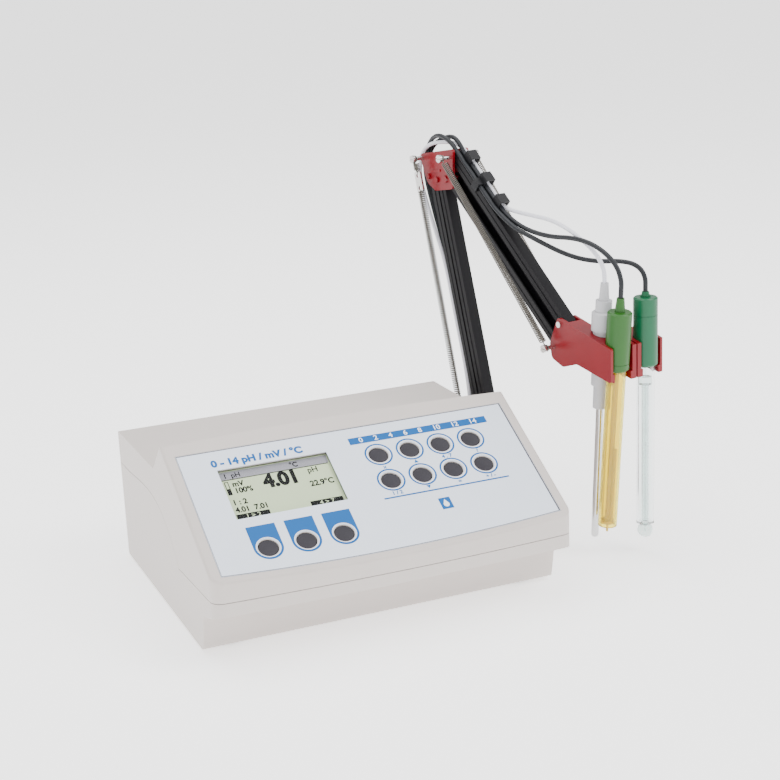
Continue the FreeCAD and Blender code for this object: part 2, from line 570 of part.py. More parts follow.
def make_springs():
    uppers = [spring(ELBOW_TOP, HEAD_LOW, side) for side in (-1, 1)]
    save("upper_springs", Part.makeCompound(uppers), ARM)
    links, lowers = [], []
    top, bottom = V(ELBOW_ANCHOR[0], 0, ELBOW_ANCHOR[1]), V(FOOT_ANCHOR[0], 0, FOOT_ANCHOR[1])
    way = (bottom - top).normalize()
    link_top, link_low = top + way * 12.0, top + way * 21.0
    for side in (-1, 1):
        lowers.append(spring((top.x, top.z), (link_top.x, link_top.z), side))
        lowers.append(spring((link_low.x, link_low.z), (bottom.x, bottom.z), side))
        y = side * SPRING_OFFSET
        across = V(-way.z, 0, way.x) * 3.6
        a, b = link_top - way * 3.2, link_low + way * 3.2
        corners = [a + across, b + across, b - across, a - across]
        sheet = outline([(p.x, y - 0.6, p.z) for p in corners], 2.2).extrude(V(0, 1.2, 0))
        for eye, out in ((link_top, way * -4), (link_low, way * 4)):
            centre = V(eye.x, y, eye.z)
            sheet = sheet.cut(cyl(1.5, (eye.x, y - 5, eye.z), (eye.x, y + 5, eye.z)))
            sheet = sheet.cut(cyl(0.65, centre, centre + out))
        links.append(sheet)
    save("lower_springs", Part.makeCompound(lowers), ARM)
    save("spring_links", Part.makeCompound(links), ARM)


# ---------------------------------------------------------------- electrode holder
GEL = {"u": 133.8, "v": 3.3, "tilt": 5.0}
GLASS = {"u": 134.3, "v": 27.4, "tilt": 0.0}
PROBE = {"u": 117.2, "v": 5.0, "tilt": 3.7}
GRIP_Z = 140.0                 # height at which u is given for each probe


def in_arm(which):
    """Frame on a probe's axis at the grip height, +Z up along the probe, in the arm's frame."""
    turn = FreeCAD.Rotation(V(0, 1, 0), which["tilt"])
    return FreeCAD.Placement(V(which["u"], which["v"], GRIP_Z), turn)


def probe_place(which):
    return ARM.multiply(in_arm(which))


def axis_cut(which, radius, z0, z1, mouth):
    """A round way along a probe's axis, open towards the front when mouth is not zero."""
    tool = cyl(radius, (0, 0, z0), (0, 0, z1))
    if mouth:
        tool = tool.fuse(box(0, mouth, -radius, radius, z0, z1))
    tool.Placement = in_arm(which)
    return tool


def make_holder():
    back = [(106.0, 133.7), (92.0, 129.0), (80.5, 133.2), (78.6, 143.0)]
    near = slab_uz([(87.0, 162.2), (139.5, 150.1), (139.5, 127.5)] + back, -PLATE_OUT, -PLATE_IN,
                   [3, 1.5, 1.5, 4, 5, 4, 4])
    far = slab_uz([(87.0, 162.2), (112.0, 156.4), (112.0, 132.6)] + back, PLATE_IN, PLATE_OUT,
                  [3, 1, 1, 4, 5, 4, 4])
    side = slab_uz([(100.0, 159.2), (139.5, 150.1), (139.5, 127.5), (100.0, 134.8)], -PLATE_IN - 0.5, 38.2, 0)
    plan = outline([(104.5, -PLATE_IN, 120), (104.5, 9.0, 120), (123.0, 38.2, 120), (139.5, 38.2, 120),
                    (139.5, -PLATE_IN, 120)], [0, 3, 4, 1, 0])
    block = side.common(plan.extrude(V(0, 0, 50)))
    web = slab_uz([(96.0, 160.1), (107.0, 157.6), (107.0, 155.2), (96.0, 157.7)], -PLATE_IN, PLATE_IN, 0)
    head = fuse([near, far, block, web])
    head = head.cut(axis_cut(GEL, 8.25, -6.5, 30, 30)).cut(axis_cut(GEL, 6.9, -30, 30, 30))
    head = head.cut(axis_cut(GLASS, 8.25, -7.5, 30, 30)).cut(axis_cut(GLASS, 6.7, -30, 30, 30))
    head = head.cut(axis_cut(PROBE, 6.75, -30, 40, 0))
    head = head.cut(box(127.0, 150, 14.9, 15.9, 120, 170))
    for point in (HEAD_TOP, HEAD_LOW):
        head = head.cut(hole(point))
    save("electrode_holder", head, ARM)
    u, z = HEAD_LOW
    low = fuse([cyl(PIN_RADIUS, (u, -PLATE_IN, z), (u, PLATE_IN, z))] + anchor(HEAD_LOW))
    save("holder_pins", Part.makeCompound([pin(HEAD_TOP, PLATE_OUT, 2.0), low]), ARM)


def make_gel_electrode():
    place = probe_place(GEL)
    cap = fuse([cyl(8.0, (0, 0, -5.0), (0, 0, 32.4)), cone(6.6, 8.0, (0, 0, -6.4), (0, 0, -5.0)),
                cone(8.0, 7.2, (0, 0, 32.4), (0, 0, 33.2)),
                cone(3.4, 2.5, (0, 0, 33.2), (0, 0, 42.2))])
    groove = ring(7.75, 9.0, (0, 0, -1.2), (0, 0, -0.9))
    hollows = fuse([groove, cyl(5.2, (0, 0, -8), (0, 0, 10)), cyl(BLACK_CABLE / 2, (0, 0, 36.5), (0, 0, 45))])
    cap = cap.cut(hollows)
    save("gel_electrode_cap", cap, place)
    tube = cyl(6.4, (0, 0, -116.0), (0, 0, -6.45)).fuse(cyl(5.1, (0, 0, -6.45), (0, 0, 9.8)))
    tube = tube.cut(cyl(4.6, (0, 0, -113.5), (0, 0, 12))).cut(cyl(5.0, (0, 0, -117), (0, 0, -113.9)))
    tube = fuse([tube, ring(4.6, 6.4, (0, 0, -116), (0, 0, -113.4))])
    save("gel_electrode_body", tube, place)
    stem = cyl(1.9, (0, 0, -112.9), (0, 0, 9.0))
    tip = cyl(0.8, (0, 0, -121.0), (0, 0, -112.9))
    bead = cyl(4.4, (0, 0, -113.3), (0, 0, -112.0))
    wick = cyl(0.9, (3.2, 0, -112.0), (3.2, 0, -60.0))
    save("gel_electrode_element", fuse([stem, tip, bead, wick]), place)


def make_glass_electrode():
    place = probe_place(GLASS)
    cap = fuse([cyl(8.0, (0, 0, -6.0), (0, 0, 37.6)), cone(6.6, 8.0, (0, 0, -7.4), (0, 0, -6.0)),
                cone(8.0, 7.2, (0, 0, 37.6), (0, 0, 38.5)), cyl(3.4, (0, 0, 38.5), (0, 0, 39.6)),
                cone(2.8, 2.3, (0, 0, 39.6), (0, 0, 42.0))])
    groove = ring(7.75, 9.0, (0, 0, 26.6), (0, 0, 26.9))
    hollows = fuse([groove, cyl(5.2, (0, 0, -8), (0, 0, 10)), cyl(BLACK_CABLE / 2, (0, 0, 36.5), (0, 0, 45))])
    cap = cap.cut(hollows)
    save("glass_electrode_cap", cap, place)
    tube = cyl(6.0, (0, 0, -117.0), (0, 0, -7.45)).fuse(cyl(5.1, (0, 0, -7.45), (0, 0, 9.8)))
    tube = tube.cut(cyl(4.4, (0, 0, -115.5), (0, 0, 12))).cut(cyl(2.6, (0, 0, -120), (0, 0, -110)))
    save("glass_electrode_body", tube, place)
    bulb = Part.makeSphere(5.4, V(0, 0, -122.0)).cut(Part.makeSphere(4.8, V(0, 0, -122.0)))
    neck = ring(1.9, 2.5, (0, 0, -118.3), (0, 0, -20.0))
    bulb = bulb.cut(cyl(1.9, (0, 0, -119), (0, 0, -110)))
    wire = cyl(0.5, (0, 0, -123.0), (0, 0, 9.0))
    plug = cyl(4.2, (0, 0, -20.0), (0, 0, -15.0))
    save("glass_electrode_element", fuse([bulb, neck, wire, plug]), place)


def make_temperature_probe():
    place = probe_place(PROBE)
    shoulder = 17.4
    body = fuse([cyl(6.5, (0, 0, -20.0), (0, 0, shoulder)), cyl(7.7, (0, 0, shoulder), (0, 0, 29.0)),
                 cone(7.7, 6.6, (0, 0, 29.0), (0, 0, 30.0)), cyl(4.8, (0, 0, -36.0), (0, 0, -20.0)),
                 cyl(5.4, (0, 0, 30.0), (0, 0, 37.4)), cone(3.4, 2.6, (0, 0, 37.4), (0, 0, 49.0))])
    body = body.cut(cyl(2.55, (0, 0, -37), (0, 0, -10.5))).cut(cyl(WHITE_CABLE / 2, (0, 0, 41.5), (0, 0, 50)))
    save("temperature_probe_handle", body, place)
    sheath = cyl(2.55, (0, 0, -127.0), (0, 0, -10.5)).fuse(Part.makeSphere(2.55, V(0, 0, -127.0)))
    save("temperature_probe_sheath", sheath, place)


# ---------------------------------------------------------------- cables
def tube(name, points, diameter):
    """A cable along straight runs joined by arcs as large as the runs allow."""
    route = [V(*p) for p in points]
    radii = [0.0] * len(route)
    for i in range(1, len(route) - 1):
        into, away = route[i] - route[i - 1], route[i + 1] - route[i]
        turn = into.getAngle(away)
        radii[i] = 0.45 * min(into.Length, away.Length) / math.tan(turn / 2)
    edges = corner_edges([tuple(p) for p in route], radii, False)
    path = Part.Wire(edges)
    start = route[0]
    profile = Part.Wire(Part.makeCircle(diameter / 2, start, route[1] - route[0]))
    solid = path.makePipeShell([profile], True, False)
    expected = math.pi * diameter ** 2 / 4 * path.Length
    ratio = solid.Volume / expected
    tightest = min(radii[1:-1])
    print(f"{name}: length {path.Length:.0f}, smallest radius {tightest:.1f}, volume ratio {ratio:.3f}")
    return solid, path.Length


def arm_world(point):
    return tuple(ARM.multVec(V(*point)))


def upper_bar_point(along_bar, v, height):
    """A point above the top face of the upper bar."""
    u, z = step(ELBOW_TOP, UPPER_ANGLE, along_bar)
    up = BAR_DEPTH / 2 + height
    du, dz = along(UPPER_ANGLE + 90)
    return u + du * up, v, z + dz * up


def lower_bar_point(along_bar, v, height):
    """A point behind the rear face of the lower rear bar, measured down from the elbow pin."""
    u, z = step(ELBOW_REAR, LOWER_ANGLE, -along_bar)
    back = BAR_DEPTH / 2 + height
    du, dz = along(LOWER_ANGLE + 90)
    return u + du * back, v, z + dz * back


COIL_Y = 190.0
TURNS = {"gel": 2.75, "glass": 2.75, "temperature": 2.75}


def cable_routes():
    """For every cable, from its probe: the tube to the hank on the bench, then the tube on to the socket."""
    probes = {"gel": (GEL, BLACK_CABLE), "glass": (GLASS, BLACK_CABLE), "temperature": (PROBE, WHITE_CABLE)}
    spans = {
        "gel": [(138.3, 3.3, 193.5), (134.0, 3.2, 202.3), (124.0, 3.0, 209.0), (110.0, 2.8, 213.6),
                (92.0, 2.6, 214.8), (70.0, 2.2, 212.4), (48.0, 1.8, 213.6), (31.0, 1.3, 218.3)],
        "glass": [(134.2, 27.4, 190.5), (131.6, 26.6, 196.0), (125.6, 24.8, 199.4), (115.5, 21.8, 200.0),
                  (103.0, 17.4, 198.4), (90.0, 12.5, 198.6), (77.0, 7.6, 201.4), (64.0, 3.2, 206.0),
                  (50.0, -0.4, 211.0), (36.0, -2.5, 215.2)],
        "temperature": [(118.8, 4.9, 199.5), (112.5, 5.2, 206.3), (101.0, 5.9, 212.0), (85.0, 6.0, 218.6),
                        (67.0, 5.6, 223.0), (48.0, 5.0, 223.6), (33.0, 4.4, 224.2)]}
    heights = {"gel": 2.45, "glass": 1.75, "temperature": 2.25}
    clip_v = {"gel": 0.85, "glass": -3.2, "temperature": 3.95}
    loops = {
        "gel": [(-26.5, 0.8, 265.6), (-32.5, 1.0, 269.6), (-40.5, 2.2, 269.8), (-50.5, 3.1, 267.2),
                (-58.6, 3.15, 263.8), (-65.2, 3.15, 258.0), (-68.8, 3.15, 249.4), (-68.6, 3.15, 239.0),
                (-63.6, 3.15, 226.0), (-57.4, 3.15, 210.0)],
        "glass": [(-31.0, -3.2, 266.4), (-39.5, -3.0, 269.8), (-48.0, -2.3, 270.4), (-56.0, -0.9, 268.2),
                  (-62.4, -0.1, 263.2), (-66.9, -0.1, 255.5), (-69.0, -0.1, 246.5), (-67.3, -0.1, 236.0),
                  (-62.6, -0.2, 223.5), (-56.6, -0.2, 208.5)],
        "temperature": [(-28.8, 3.4, 263.6), (-36.5, 2.4, 265.8), (-45.5, 0.2, 265.6), (-54.5, -2.0, 264.4),
                        (-61.5, -3.2, 261.4), (-67.3, -3.25, 256.0), (-71.0, -3.3, 247.0),
                        (-70.3, -3.3, 236.5), (-65.3, -3.3, 224.0), (-58.2, -3.3, 209.0)]}
    lanes = {"gel": 3.15, "glass": -0.2, "temperature": -3.3}
    bench = {
        "gel": [(131.2, 122.0, 1.7), (121.0, 147.0, 1.8), (101.0, 165.0, 1.7), (84.0, 172.0, 1.7)],
        "glass": [(127.6, 118.0, 1.7), (118.0, 141.0, 1.8), (97.0, 155.5, 1.7), (70.0, 159.5, 1.8),
                  (48.0, 166.5, 1.7), (33.0, 171.7, 1.7)],
        "temperature": [(124.0, 115.0, 1.6), (113.5, 136.0, 1.7), (92.0, 149.0, 1.6), (60.0, 152.4, 1.7),
                        (28.0, 154.0, 1.6), (0.0, 162.0, 1.7), (-19.0, 171.3, 1.6)]}
    on_bar = ((63.0, 0.0), (95.0, 0.4), (127.0, 0.0), (152.0, 0.7))
    on_clips = ((56.0, 0.1), (41.0, 0.0), (21.0, 0.1), (4.0, 0.0))
    routes = {}
    for name, (probe, diameter) in probes.items():
        side, height, v = lanes[name], heights[name], clip_v[name]
        place = in_arm(probe)
        reach = (41.5, 53.0) if name == "temperature" else (36.5, 46.0)
        held = [tuple(place.multVec(V(0, 0, h))) for h in reach] + spans[name]
        held += [upper_bar_point(t, v, height + d) for t, d in on_clips]
        held += loops[name]
        held += [lower_bar_point(t, side, 1.8 + d) for t, d in on_bar]
        held += [(-17.5, side, 72.0), (-18.6, side, 58.0), (-20.8, side, 40.0), (-24.6, side, 22.5)]
        held += [(-33.0, side, 9.5), (-46.0, side, diameter / 2 + 2.6)]
        x, radius, top = SOCKET_OF[name], hank_radius(diameter), hank_height(diameter)
        to_hank = [arm_world(p) for p in held] + bench[name]
        to_hank.append((x - radius, COIL_Y - radius, diameter / 2 + 0.1))
        to_socket = [(x, COIL_Y, top), (x, COIL_Y - 14.0, top + 3.5), (x, COIL_Y - 26.5, 23.0),
                     (x, COIL_Y - 38.0, 33.6), (x, COIL_Y - 50.0, 36.0)]
        routes[name] = (to_hank, to_socket, diameter)
    return routes


def hank_radius(diameter):
    return 5.5 * diameter


def hank_height(diameter):
    return 3.2 * diameter


def make_cables():
    for name, (to_hank, to_socket, diameter) in cable_routes().items():
        first, length = tube(name + "_cable", to_hank, diameter)
        second, more = tube(name + "_cable to its socket", to_socket, diameter)
        save(name + "_cable", Part.makeCompound([first, second]))
        radius, half = hank_radius(diameter), diameter * 0.55
        x = SOCKET_OF[name] - radius
        low, high = (x, COIL_Y, 0.05), (x, COIL_Y, hank_height(diameter))
        save(name + "_cable_coil", ring(radius - half, radius + half, low, high))
        wound = TURNS[name] * 2 * math.pi * radius
        print(f"{name}: {length:.0f} + {wound:.0f} wound + {more:.0f} = {length + wound + more:.0f} mm")


def make_plugs():
    for name in ("gel", "glass"):
        x = SOCKET_OF[name]
        sleeve = ring(6.0, 7.25, (x, 105.6, SOCKETS_Z), (x, 115.0, SOCKETS_Z))
        body = cyl(7.25, (x, 115.0, SOCKETS_Z), (x, 118.0, SOCKETS_Z))
        grip = cyl(5.4, (x, 118.0, SOCKETS_Z), (x, 130.0, SOCKETS_Z))
        boot = cone(4.4, 2.6, (x, 130.0, SOCKETS_Z), (x, 140.0, SOCKETS_Z))
        save(name + "_cable_plug", fuse([sleeve, body, grip, boot]))
    x = SOCKET_OF["temperature"]
    sleeve = ring(4.2, 5.0, (x, 105.4, SOCKETS_Z), (x, 113.0, SOCKETS_Z))
    body = cyl(5.0, (x, 113.0, SOCKETS_Z), (x, 130.0, SOCKETS_Z))
    tip = cyl(1.6, (x, 104.0, SOCKETS_Z), (x, 113.0, SOCKETS_Z))
    boot = cone(4.0, 2.4, (x, 130.0, SOCKETS_Z), (x, 140.0, SOCKETS_Z))
    save("temperature_cable_plug", fuse([sleeve, body, tip, boot]))


make_case()
make_panel_parts()
make_connectors()
make_inside()
make_stand()
make_elbow()
make_bars()
make_clips()
make_springs()
make_holder()
make_gel_electrode()
make_glass_electrode()
make_temperature_probe()
make_cables()
make_plugs()
print(len(os.listdir("parts")), "files")
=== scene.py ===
import json
import math

import bmesh
import bpy
from mathutils import Matrix, Vector


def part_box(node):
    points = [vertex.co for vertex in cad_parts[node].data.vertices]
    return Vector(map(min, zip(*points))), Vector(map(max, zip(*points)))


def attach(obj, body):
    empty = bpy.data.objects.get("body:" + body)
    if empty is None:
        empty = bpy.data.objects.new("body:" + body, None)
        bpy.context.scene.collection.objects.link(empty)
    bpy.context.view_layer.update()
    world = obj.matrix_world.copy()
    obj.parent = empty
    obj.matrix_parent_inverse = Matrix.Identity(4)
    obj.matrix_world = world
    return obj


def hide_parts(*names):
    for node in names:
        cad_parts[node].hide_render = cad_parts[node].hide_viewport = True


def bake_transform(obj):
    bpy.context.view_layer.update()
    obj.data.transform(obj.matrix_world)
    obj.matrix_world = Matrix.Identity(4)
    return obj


# The looks of a bench pH meter with an electrode arm. Metres, +Z up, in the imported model's frame.

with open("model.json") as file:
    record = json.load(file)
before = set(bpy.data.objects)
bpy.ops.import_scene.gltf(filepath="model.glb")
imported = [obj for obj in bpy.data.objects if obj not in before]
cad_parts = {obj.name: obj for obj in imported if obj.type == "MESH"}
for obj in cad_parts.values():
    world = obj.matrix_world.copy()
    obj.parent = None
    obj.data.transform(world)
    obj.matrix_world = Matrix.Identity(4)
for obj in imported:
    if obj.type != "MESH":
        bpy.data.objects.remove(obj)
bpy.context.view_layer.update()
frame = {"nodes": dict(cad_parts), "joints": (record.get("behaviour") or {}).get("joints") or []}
joints = {j["name"]: j for j in frame["joints"]}
nodes = frame["nodes"]
MM = 0.001

# ---------------------------------------------------------------- frames of reference
case_low, case_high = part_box("bottom_case")
CASE = Vector(((case_low.x + case_high.x) / 2, case_high.y - 0.106, 0.0))
TILT = math.radians(30.3)
PANEL_ORIGIN = CASE + Vector((0.0, -0.107, 0.0564))
PANEL_UP = Vector((0.0, math.cos(TILT), math.sin(TILT)))
PANEL_OUT = Vector((0.0, -math.sin(TILT), math.cos(TILT)))
SWIVEL = Vector(joints["arm_swivel"]["pos_m"])
ACROSS = Vector(joints["lower_arm"]["axis"])
FORWARD = Vector((ACROSS.y, -ACROSS.x, 0.0))


def case_point(x, y, z):
    return CASE + Vector((x, y, z)) * MM


def panel_point(x, s, n=0.0):
    return PANEL_ORIGIN + Vector((x * MM, 0, 0)) + PANEL_UP * (s * MM) + PANEL_OUT * (n * MM)


def arm_point(u, v, z):
    return SWIVEL + FORWARD * (u * MM) + ACROSS * (v * MM) + Vector((0, 0, z * MM))


# ---------------------------------------------------------------- materials
def linear(r, g, b):
    """An 8-bit sRGB colour as linear values."""
    return tuple(((c / 255 + 0.055) / 1.055) ** 2.4 if c > 10 else c / 3294.6 for c in (r, g, b)) + (1.0,)


def material(name, colour, rough=0.5, metallic=0.0, vary=0.04, vary_scale=60.0, bump=0.0, bump_scale=2500.0,
             rough_vary=0.06, stretch=(1, 1, 1), coat=0.0, transmission=0.0, ior=1.46, alpha=1.0,
             specular=0.5):
    """A principled material whose colour, roughness and surface vary with noise in object space."""
    made = bpy.data.materials.new(name)
    made.use_nodes = True
    tree = made.node_tree
    shader = tree.nodes["Principled BSDF"]
    coordinate = tree.nodes.new("ShaderNodeTexCoord")
    mapping = tree.nodes.new("ShaderNodeMapping")
    mapping.inputs["Scale"].default_value = stretch
    tree.links.new(coordinate.outputs["Object"], mapping.inputs["Vector"])
    noise = tree.nodes.new("ShaderNodeTexNoise")
    noise.inputs["Scale"].default_value = vary_scale
    noise.inputs["Detail"].default_value = 6.0
    tree.links.new(mapping.outputs["Vector"], noise.inputs["Vector"])
    ramp = tree.nodes.new("ShaderNodeValToRGB")
    dark = tuple(c * (1 - vary) for c in colour[:3]) + (1.0,)
    light = tuple(min(1.0, c * (1 + vary)) for c in colour[:3]) + (1.0,)
    ramp.color_ramp.elements[0].color, ramp.color_ramp.elements[1].color = dark, light
    ramp.color_ramp.elements[0].position, ramp.color_ramp.elements[1].position = 0.3, 0.7
    tree.links.new(noise.outputs["Fac"], ramp.inputs["Fac"])
    tree.links.new(ramp.outputs["Color"], shader.inputs["Base Color"])
    roughness = tree.nodes.new("ShaderNodeMapRange")
    roughness.inputs["To Min"].default_value = max(0.02, rough - rough_vary)
    roughness.inputs["To Max"].default_value = min(1.0, rough + rough_vary)
    tree.links.new(noise.outputs["Fac"], roughness.inputs["Value"])
    tree.links.new(roughness.outputs["Result"], shader.inputs["Roughness"])
    if bump:
        grain = tree.nodes.new("ShaderNodeTexNoise")
        grain.inputs["Scale"].default_value = bump_scale
        grain.inputs["Detail"].default_value = 3.0
        tree.links.new(mapping.outputs["Vector"], grain.inputs["Vector"])
        node = tree.nodes.new("ShaderNodeBump")
        node.inputs["Strength"].default_value = bump
        node.inputs["Distance"].default_value = 0.0002
        tree.links.new(grain.outputs["Fac"], node.inputs["Height"])
        tree.links.new(node.outputs["Normal"], shader.inputs["Normal"])
    shader.inputs["Metallic"].default_value = metallic
    shader.inputs["Specular IOR Level"].default_value = specular
    shader.inputs["Coat Weight"].default_value = coat
    shader.inputs["Coat Roughness"].default_value = 0.08
    shader.inputs["Transmission Weight"].default_value = transmission
    shader.inputs["IOR"].default_value = ior
    shader.inputs["Alpha"].default_value = alpha
    return made


M = {
    "case": material("case_plastic", linear(200, 192, 187), 0.48, bump=0.16, bump_scale=1800, vary=0.012),
    "rear": material("rear_plate", linear(140, 140, 140), 0.45, bump=0.1),
    "overlay": material("overlay_film", linear(222, 230, 243), 0.40, bump=0.10, bump_scale=3200, vary=0.01),
    "blue": material("print_blue", linear(0, 88, 156), 0.50, bump=0.08, vary=0.03, specular=0.25),
    "legend": material("print_legend", linear(4, 96, 162), 0.50, bump=0.06, vary=0.03, specular=0.25),
    "border": material("print_border", linear(66, 68, 78), 0.45, bump=0.06, vary=0.03, specular=0.25),
    "print_white": material("print_white", linear(240, 243, 248), 0.40, bump=0.06, vary=0.01),
    "key": material("key_rubber", linear(46, 44, 50), 0.62, bump=0.45, bump_scale=1700, vary=0.10,
                    specular=0.3),
    "lcd": material("lcd_glass", linear(196, 212, 172), 0.40, vary=0.02, vary_scale=30, bump=0.02),
    "lcd_ink": material("lcd_ink", linear(8, 9, 8), 0.50, vary=0.08, vary_scale=400, bump=0.02,
                        specular=0.15),
    # Grey for the band along the top of the display: painted shade from the window's recess wall.
    "lcd_recess_shade": material("lcd_recess_shadow", linear(142, 142, 150), 0.40, vary=0.05, vary_scale=40, bump=0.02),
    "red": material("red_plastic", linear(122, 3, 18), 0.34, bump=0.05, bump_scale=900, vary=0.05, coat=0.08,
                    specular=0.35),
    "bar": material("bar_black", linear(17, 16, 19), 0.46, bump=0.12, bump_scale=1400, vary=0.10,
                    specular=0.2, stretch=(1, 1, 0.08)),
    "spring": material("spring_steel", linear(112, 108, 102), 0.34, metallic=1.0, vary=0.10, vary_scale=300,
                       bump=0.05),
    "screw": material("screw_steel", linear(206, 204, 202), 0.24, metallic=1.0, vary=0.08, vary_scale=400,
                      bump=0.08),
    "sheath": material("sheath_steel", linear(198, 198, 198), 0.16, metallic=1.0, vary=0.05,
                       stretch=(1, 1, 0.05), vary_scale=500, bump=0.03),
    "base": material("base_steel", linear(120, 121, 124), 0.42, metallic=0.6, vary=0.06, bump=0.12),
    "chrome": material("socket_metal", linear(205, 205, 208), 0.18, metallic=1.0, vary=0.05, bump=0.03),
    "black": material("black_plastic", linear(24, 24, 27), 0.46, bump=0.18, bump_scale=1800, vary=0.10,
                      specular=0.35),
    "board": material("board_green", linear(30, 96, 52), 0.45, bump=0.1, vary=0.10),
    "rubber": material("foot_rubber", linear(40, 40, 42), 0.75, bump=0.25, vary=0.10),
    "cable": material("cable_black", linear(30, 32, 36), 0.46, bump=0.15, bump_scale=1200, vary=0.08,
                      specular=0.35),
    "cable_white": material("cable_white", linear(226, 226, 234), 0.48, bump=0.12, bump_scale=1200,
                            vary=0.02),
    "white": material("white_plastic", linear(186, 186, 189), 0.42, bump=0.08, vary=0.02),
    "green": material("cap_green", linear(30, 86, 14), 0.40, bump=0.10, bump_scale=1500, vary=0.05),
    "emerald": material("cap_emerald", linear(3, 90, 55), 0.38, bump=0.10, bump_scale=1500, vary=0.05),
    "amber": material("tube_amber", linear(255, 232, 96), 0.10, vary=0.04, transmission=0.85, ior=1.45),
    "amber_core": material("amber_core", linear(206, 176, 66), 0.30, vary=0.12, vary_scale=120, bump=0.05),
    "glass": material("tube_clear", linear(246, 250, 250), 0.03, vary=0.01, rough_vary=0.01,
                      transmission=1.0, ior=1.45),
    "inner": material("inner_glass", linear(236, 244, 242), 0.04, vary=0.02, rough_vary=0.01,
                      transmission=0.95, ior=1.40),
    "window": material("window_clear", linear(70, 76, 76), 0.08, vary=0.01, rough_vary=0.02, alpha=0.03,
                       specular=0.1),
}


def paint(names, look):
    for name in names:
        mesh = nodes[name].data
        mesh.materials.clear()
        mesh.materials.append(M[look])
        for face in mesh.polygons:
            face.material_index = 0


paint(["bottom_case", "top_cover"], "case")
paint(["rear_panel"], "rear")
paint(["panel_overlay"], "overlay")
paint(["display_window"], "window")
paint(["lcd_module"], "lcd")
paint(["main_board", "key_board"], "board")
paint(["case_screws", "swivel_pins", "elbow_pins", "holder_pins", "spring_links"], "screw")
paint(["rubber_feet"], "rubber")
paint(["bnc_sockets", "phono_sockets", "data_port"], "chrome")
paint(["power_inlet", "switch_frame", "power_switch", "cable_clips"], "black")
paint(["gel_cable_plug", "glass_cable_plug"], "black")
paint(["base_plate"], "base")
paint(["swivel_base", "elbow_bracket", "electrode_holder"], "red")
paint(["lower_front_bar", "lower_rear_bar", "upper_top_bar", "upper_bottom_bar"], "bar")
paint([name for name in nodes if name.startswith("key_") and name != "key_board"], "key")
paint(["temperature_probe_handle", "temperature_cable_plug"], "white")
paint(["temperature_probe_sheath"], "sheath")
paint(["gel_electrode_cap"], "green")
paint(["gel_electrode_body"], "amber")
paint(["gel_electrode_element"], "amber_core")
paint(["glass_electrode_cap"], "emerald")
paint(["glass_electrode_body"], "glass")
paint(["glass_electrode_element"], "inner")


def paint_elbow_pins():
    """The elbow's rivets are red like the bracket; its spring screws and outermost pin are bare steel."""
    pins = nodes["elbow_pins"]
    pins.data.materials.append(M["red"])
    outward = (arm_point(1.0, 0.0, 0.0) - arm_point(0.0, 0.0, 0.0)).normalized()
    centres = [pins.matrix_world @ face.center for face in pins.data.polygons]
    top = max(centre.z for centre in centres)
    outer = max(centre.dot(outward) for centre in centres)
    for face, centre in zip(pins.data.polygons, centres):
        steel = centre.z > top - 0.012 or centre.dot(outward) > outer - 0.006
        face.material_index = 0 if steel else 1


paint_elbow_pins()


# ---------------------------------------------------------------- mesh helpers
def new_piece(name, mesh, look, body=None, smooth=True):
    mesh.materials.append(M[look])
    if smooth:
        for face in mesh.polygons:
            face.use_smooth = True
    piece = bpy.data.objects.new(name, mesh)
    bpy.context.scene.collection.objects.link(piece)
    if body:
        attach(piece, body)
    return piece


def print_piece(name, polygons, look, height, body="root"):
    """Flat printing on the panel: a polygon is a list of (x, s) points, or an (outer, inner) pair of rings."""
    made = bmesh.new()
    for polygon in polygons:
        if isinstance(polygon, tuple):
            rings = [[made.verts.new(panel_point(x, s, height)) for x, s in ring] for ring in polygon]
            count = len(rings[0])
            for i in range(count):
                j = (i + 1) % count
                made.faces.new((rings[0][i], rings[0][j], rings[1][j], rings[1][i]))
        else:
            made.faces.new([made.verts.new(panel_point(x, s, height)) for x, s in polygon])
    bmesh.ops.recalc_face_normals(made, faces=made.faces)
    for face in made.faces:
        if face.normal.dot(PANEL_OUT) < 0:
            face.normal_flip()
    mesh = bpy.data.meshes.new(name)
    made.to_mesh(mesh)
    made.free()
    return new_piece(name, mesh, look, body, smooth=False)


def circle(x, s, radius, count=48, start=0.0):
    return [(x + radius * math.cos(start + 2 * math.pi * i / count),
             s + radius * math.sin(start + 2 * math.pi * i / count)) for i in range(count)]


def rectangle(x0, x1, s0, s1):
    return [(x0, s0), (x1, s0), (x1, s1), (x0, s1)]


def words(name, text, x, s, size, look, height, align="CENTER", bold=0.0, wide=1.0):
    """Lettering on the panel as a flat mesh; size is the letters' height in millimetres."""
    curve = bpy.data.curves.new(name, "FONT")
    curve.body = text
    curve.align_x, curve.align_y = align, "CENTER"
    curve.size = size / 0.72
    curve.offset = bold
    holder = bpy.data.objects.new(name + ".text", curve)
    bpy.context.scene.collection.objects.link(holder)
    bpy.context.view_layer.update()
    mesh = bpy.data.meshes.new_from_object(holder.evaluated_get(bpy.context.evaluated_depsgraph_get()))
    bpy.data.objects.remove(holder)
    for vertex in mesh.vertices:
        vertex.co = panel_point(x + vertex.co.x * wide, s + vertex.co.y, height)
    mesh.name = name
    mesh.materials.clear()
    return new_piece(name, mesh, look, "root", smooth=False)


# ---------------------------------------------------------------- panel printing
PRINT = 0.02               # height of the printing above the film, mm
KEY_FIRST_X, KEY_PITCH, KEY_ROWS = 14.5, 21.4, (52.4, 74.3)
SOFT_X, SOFT_PITCH, SOFT_ROW = -77.0, 24.0, 19.0
RING = 9.1                 # outer radius of the blue ring round a key
KEY_GAP, KEY_EDGE = 7.9, 7.3
SOFT_GAP, SHIELD_TOP = 7.6, 17.2
DROP_X, DROP_S, DROP_RADIUS, DROP_TIP = 41.2, 25.6, 1.9, 29.8


